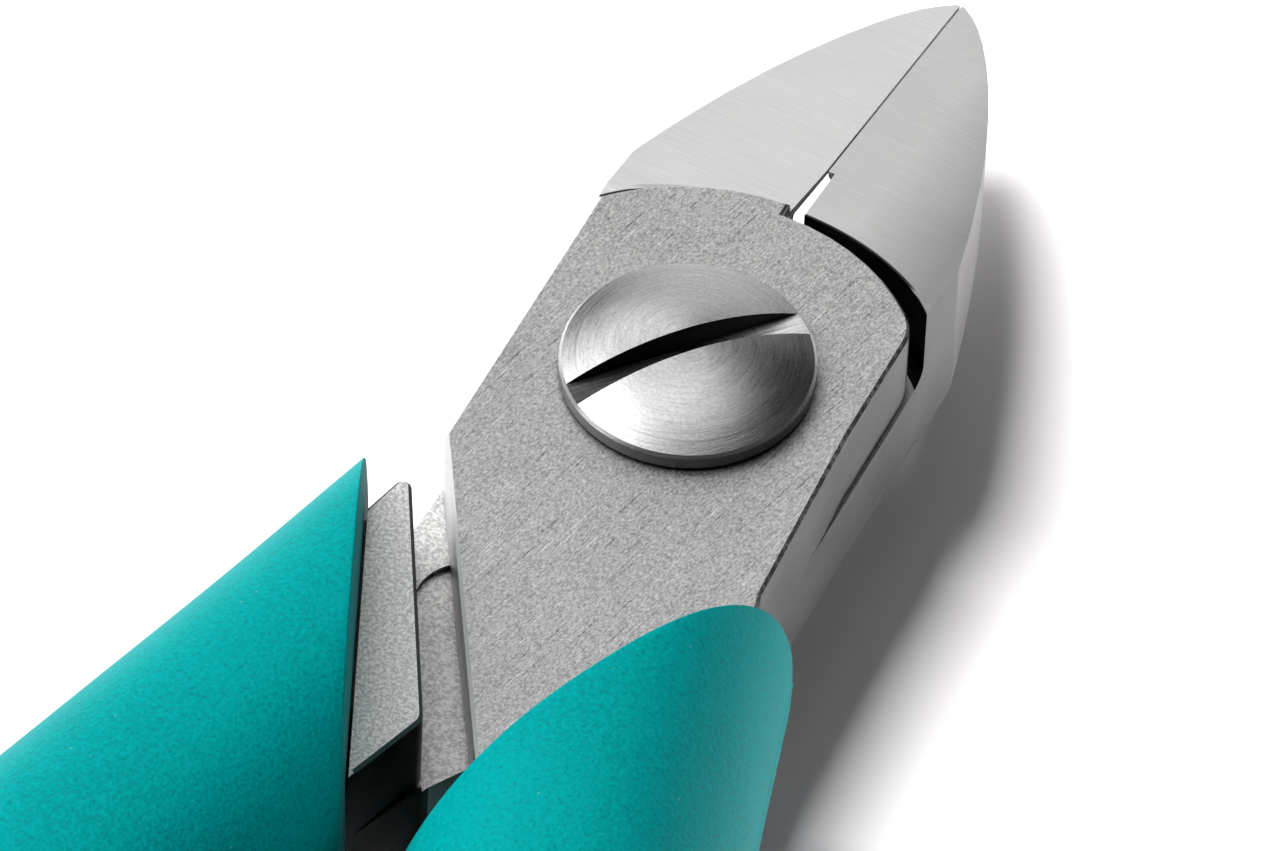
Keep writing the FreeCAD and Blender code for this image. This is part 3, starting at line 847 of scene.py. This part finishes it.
def turned_steel(name):
    """Face-turned steel: broken fine rings about the pivot and a milled slot, with painted shade on
    steep walls, the skirt and in crevices, and painted light towards one end of the slot's floor.
    """
    n = Nodes(name)
    facing_up = n.math("ABSOLUTE", n.split(n.normal)[2])
    height = n.split(n.at)[2]
    centre = (pivot.x / MM, pivot.y / MM, 0.0)
    flat = n.vector("MULTIPLY", n.vector("SUBTRACT", n.at, centre), (1.0, 1.0, 0.0))
    radius = n.vector("LENGTH", flat)
    ring_space = n.add("ShaderNodeCombineXYZ")
    n.feed(ring_space.inputs[0], n.times(radius, RINGS_PER_MM))
    wander = n.vector("SCALE", flat, scale=RING_WANDER)
    rings = n.noise(n.vector("ADD", ring_space.outputs[0], wander), RINGED)
    grit = n.noise(n.at, GRITTY, TURNED_GRIT_CELLS)
    dome = n.spread(rings, TURNED_SHADES)
    dome = n.times(dome, n.spread(grit, TURNED_GRIT_GAIN, TURNED_GRIT))
    deep_ring = n.times(n.remap(radius, *DEEP_RING_INNER), n.remap(radius, *DEEP_RING_OUTER))
    dome = n.mix(deep_ring, dome, DEEP_RING_SHADE)

    # the slot: milled lengthwise, with walls painted black as shade and a floor painted brighter
    # towards one end as light
    slot_at = n.split(n.stretched(flat, -SLOT_ANGLE, (1.0, 1.0, 1.0)))
    slot_space = n.add("ShaderNodeCombineXYZ")
    for axis, cells in enumerate(SLOT_STREAK_CELLS):
        n.feed(slot_space.inputs[axis], n.times(slot_at[axis], cells))
    streaks = n.noise(slot_space.outputs[0], GRAINY)
    slot_floor_painted_light = n.remap(slot_at[0], *SLOT_RUN, *SLOT_FLOOR_PAINTED_LIGHT)
    slot_floor_painted_light = n.times(slot_floor_painted_light, n.spread(streaks, SLOT_STREAK_GAIN, SLOT_STREAK))
    not_above = n.remap(height, SLOT_FLOOR_Z + SLOT_FLOOR_FAR, SLOT_FLOOR_Z + SLOT_FLOOR_NEAR)
    not_below = n.remap(height, SLOT_FLOOR_Z - SLOT_FLOOR_FAR, SLOT_FLOOR_Z - SLOT_FLOOR_NEAR)
    slot_floor = n.times(n.remap(facing_up, *SLOT_FLOOR_UP), not_above, not_below)
    wall = n.remap(facing_up, *WALL_UP)
    skirt = n.times(wall, n.remap(radius, *SKIRT_RADIUS))
    rim = n.times(n.remap(facing_up, *RIM_UP), n.remap(facing_up, *RIM_NOT_FLAT))

    # painted light along the slot's floor, painted shade on steep walls and the skirt
    value = n.mix(slot_floor, dome, slot_floor_painted_light)
    value = n.mix(wall, value, STEEP_WALL_PAINTED_SHADE)
    value = n.mix(skirt, value, SKIRT_PAINTED_SHADE)
    value = n.mix(rim, value, RIM_SHADE)
    # crevices painted darker as shade
    value = n.times(value, n.painted_crevice_shade(*TURNED_CREVICE_PAINTED_SHADE))
    n.set("Base Color", n.grey(value, TURNED_WARMTH))
    n.set("Roughness", n.spread(rings, TURNED_ROUGHNESS))
    relief = n.math("ADD", n.times(rings, RING_DEPTH), n.times(grit, TURNED_GRIT_DEPTH))
    n.set("Normal", n.bump(relief, TURNED_BUMP))
    tangent = n.add("ShaderNodeTangent", direction_type="RADIAL", axis="Z")
    n.set("Tangent", tangent.outputs[0])
    n.set("Metallic", 1.0)
    n.set("Anisotropic", TURNED_ANISOTROPY)
    return n.material


def elastomer(name):
    """Soft teal grip: matt, with a fine pebbled skin and a few pale specks of dust."""
    n = Nodes(name)
    pebbles = n.noise(n.at, GRAINY, PEBBLE_CELLS)
    fine = n.noise(n.at, GRAINY, FINE_PEBBLE_CELLS)
    tone = n.noise(n.at, PATCHY, TONE_CELLS)
    specks = n.cells(n.at, DUST_CELLS)
    dust = n.remap(specks["Distance"], *DUST_SIZE)
    dust = n.times(dust, n.remap(n.split(specks["Color"])[0], *DUST_RARITY))
    colour = n.mix_colour(n.remap(tone, *NOISE_SPAN), *TEALS)
    colour = n.mix_colour(n.remap(pebbles, *PEBBLE_TOP), colour, PEBBLE_TOP_COLOUR)
    colour = n.mix_colour(n.remap(pebbles, *PEBBLE_GAP), colour, PEBBLE_GAP_COLOUR)
    colour = n.mix_colour(n.times(dust, DUST_SHARE), colour, DUST_COLOUR)
    # crevices between and inside the grips painted near black as shade
    colour = n.mix_colour(n.painted_crevice_shade(*GRIP_CREVICE_PAINTED_SHADE), CREVICE_PAINTED_SHADE_COLOUR, colour)
    n.set("Base Color", colour)
    n.set("Roughness", n.spread(pebbles, GRIP_ROUGHNESS))
    relief = n.math("ADD", n.times(pebbles, PEBBLE_DEPTH), n.times(fine, FINE_PEBBLE_DEPTH))
    relief = n.math("ADD", relief, n.times(dust, DUST_DEPTH))
    n.set("Normal", n.bump(relief, GRIP_BUMP))
    n.set("Specular IOR Level", GRIP_SPECULAR)
    n.set("Specular Tint", GRIP_SPECULAR_TINT)
    n.set("Sheen Weight", GRIP_SHEEN)
    n.set("Sheen Roughness", GRIP_SHEEN_ROUGHNESS)
    n.set("Sheen Tint", GRIP_SHEEN_TINT)
    return n.material


def hard_plastic(name):
    """Matt black moulded liner with a fine spark-eroded texture."""
    n = Nodes(name)
    texture = n.noise(n.at, GRITTY, LINER_TEXTURE_CELLS)
    flow = n.noise(n.vector("MULTIPLY", n.at, LINER_FLOW_CELLS), PATCHY)
    n.set("Base Color", n.grey(n.spread(flow, LINER_SHADES), LINER_WARMTH))
    n.set("Roughness", n.spread(texture, LINER_ROUGHNESS))
    n.set("Normal", n.bump(texture, LINER_BUMP))
    return n.material


def spring_steel(name):
    """Blued spring strip, smooth, with fine lines along its length; its near-black colour is
    partly the bluing and partly painted shade for the gap between the grips.
    """
    n = Nodes(name)
    lines = n.noise(n.vector("MULTIPLY", n.at, STRIP_LINE_CELLS), STREAKY)
    stains = n.noise(n.at, STREAKY, STRIP_STAIN_CELLS)
    value = n.times(n.spread(lines, STRIP_BLUED_AND_PAINTED_SHADES), n.spread(stains, STRIP_STAIN_GAIN))
    n.set("Base Color", n.grey(value, STRIP_WARMTH))
    n.set("Roughness", n.spread(lines, STRIP_ROUGHNESS))
    n.set("Normal", n.bump(lines, STRIP_BUMP))
    n.set("Metallic", 1.0)
    return n.material


def rivet_steel(name):
    """Headed rivet: plain steel with small hammer marks."""
    n = Nodes(name)
    marks = n.cells(n.at, RIVET_MARK_CELLS, "SMOOTH_F1")["Distance"]
    grit = n.noise(n.at, STREAKY, RIVET_GRIT_CELLS)
    n.set("Base Color", n.grey(n.spread(grit, RIVET_SHADES), RIVET_WARMTH))
    n.set("Roughness", n.spread(grit, RIVET_ROUGHNESS))
    n.set("Normal", n.bump(marks, RIVET_BUMP))
    n.set("Metallic", 1.0)
    return n.material


def white_floor(name):
    n = Nodes(name)
    cloudy = n.noise(n.at, PATCHY, FLOOR_CLOUD_CELLS)
    n.set("Base Color", n.mix_colour(cloudy, *FLOOR_COLOURS))
    n.set("Roughness", FLOOR_ROUGHNESS)
    n.set("Specular IOR Level", FLOOR_SPECULAR)
    return n.material


def paint(thing, material):
    """Give every face of a piece one material."""
    thing.data.materials.clear()
    thing.data.materials.append(material)


# ---- studio ----

def make_floor():
    work = bmesh.new()
    bmesh.ops.create_grid(work, x_segments=2, y_segments=2, size=FLOOR_HALF_SIZE)
    floor = mesh_object("floor", work)
    floor.location.z = min(cad_box[0].z, 0.0)
    paint(floor, white_floor("floor_white"))
    return floor


def direction(azimuth, elevation):
    """Unit vector towards a light: azimuth 0 is +Y and 90 is +X."""
    flat = math.cos(math.radians(elevation))
    return Vector((
        math.sin(math.radians(azimuth)) * flat,
        math.cos(math.radians(azimuth)) * flat,
        math.sin(math.radians(elevation)),
    ))


def make_world():
    """Dark studio with soft-edged round panels in a few directions."""
    world = bpy.data.worlds.new("studio")
    world.use_nodes = True
    bpy.context.scene.world = world
    tree = world.node_tree
    background = tree.nodes["Background"]
    coordinates = tree.nodes.new("ShaderNodeTexCoord")
    total = WORLD_BASE
    for azimuth, elevation, inner, outer, strength in WORLD_PANELS:
        dot = tree.nodes.new("ShaderNodeVectorMath")
        dot.operation = "DOT_PRODUCT"
        tree.links.new(coordinates.outputs["Generated"], dot.inputs[0])
        dot.inputs[1].default_value = direction(azimuth, elevation)
        panel = tree.nodes.new("ShaderNodeMapRange")
        panel.interpolation_type = "SMOOTHSTEP"
        tree.links.new(dot.outputs["Value"], panel.inputs["Value"])
        panel.inputs["From Min"].default_value = math.cos(math.radians(outer))
        panel.inputs["From Max"].default_value = math.cos(math.radians(inner))
        panel.inputs["To Max"].default_value = strength
        add = tree.nodes.new("ShaderNodeMath")
        tree.links.new(panel.outputs["Result"], add.inputs[0])
        if total is WORLD_BASE:
            add.inputs[1].default_value = WORLD_BASE
        else:
            tree.links.new(total, add.inputs[1])
        total = add.outputs["Value"]
    tree.links.new(total, background.inputs["Strength"])
    background.inputs["Color"].default_value = (1.0, 1.0, 1.0, 1.0)


def floor_panel(floor):
    """A high soft panel for the floor alone, so that it stays white beside the tool's shadow."""
    data = bpy.data.lights.new("floor_panel", "AREA")
    data.shape = "SQUARE"
    data.size = FLOOR_LIGHT_SIZE
    data.energy = FLOOR_LIGHT_RADIANCE * math.pi * FLOOR_LIGHT_SIZE ** 2
    light = bpy.data.objects.new("floor_panel", data)
    bpy.context.scene.collection.objects.link(light)
    lit = bpy.data.collections.new("lit_floor")
    lit.objects.link(floor)
    light.light_linking.receiver_collection = lit
    towards = direction(FLOOR_LIGHT_AZIMUTH, FLOOR_LIGHT_ELEVATION)
    light.location = pivot + towards * FLOOR_LIGHT_DISTANCE
    light.rotation_euler = towards.to_track_quat("Z", "Y").to_euler()


def make_camera():
    azimuth = math.radians(CAMERA_AZIMUTH)
    elevation = math.radians(CAMERA_ELEVATION)
    roll = math.radians(CAMERA_ROLL)
    back = Vector((
        math.sin(azimuth) * math.cos(elevation),
        -math.cos(azimuth) * math.cos(elevation),
        math.sin(elevation),
    ))
    level = Vector((0, 0, 1)).cross(back).normalized()
    upright = back.cross(level)
    right = level * math.cos(roll) + upright * math.sin(roll)
    up = upright * math.cos(roll) - level * math.sin(roll)
    aim = Vector((pivot.x + CAMERA_AIM[0] * MM, pivot.y + CAMERA_AIM[1] * MM, plate_top))
    data = bpy.data.cameras.new("camera")
    data.sensor_width = SENSOR_WIDTH
    data.lens = CAMERA_LENS
    data.clip_start = CLIP_START
    camera = bpy.data.objects.new("camera", data)
    bpy.context.scene.collection.objects.link(camera)
    turn = Matrix((right, up, back)).transposed().to_4x4()
    camera.matrix_world = Matrix.Translation(aim + back * CAMERA_DISTANCE) @ turn
    bpy.context.scene.camera = camera


# ---- the whole scene ----

teal = elastomer("teal_elastomer")
for name, side, body in (("right_grip", 1, "upper"), ("left_grip", -1, "lower")):
    grip = make_grip(name + "_skin", side)
    paint(grip, teal)
    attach(grip, body)
    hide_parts(name)

strip = spring_steel("rolled_spring_strip")
leaves = (("right_leaf_spring", 1, "upper", "lower"), ("left_leaf_spring", -1, "lower", "upper"))
for name, side, own, other in leaves:
    leaf = make_leaf(name + "_strip", side)
    paint(leaf, strip)
    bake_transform(leaf)
    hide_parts(name)

nodes = frame["nodes"]
for node, material_name, grain, coarse_behind, jaw_tones_and_painted_shade in HALVES:
    paint(nodes[node], steel(material_name, grain, coarse_behind, jaw_tones_and_painted_shade))
turned = turned_steel("turned_steel")
paint(nodes["pivot_screw"], turned)
paint(nodes["pivot_nut"], turned)
liner = hard_plastic("liner_black")
rivet = rivet_steel("rivet_steel")
for hand in ("left", "right"):
    paint(nodes[hand + "_grip_core"], liner)
    paint(nodes[hand + "_spring_rivets"], rivet)

floor = make_floor()
make_world()
floor_panel(floor)
make_camera()

view = bpy.context.scene.view_settings
view.view_transform = "Standard"
view.look = "None"
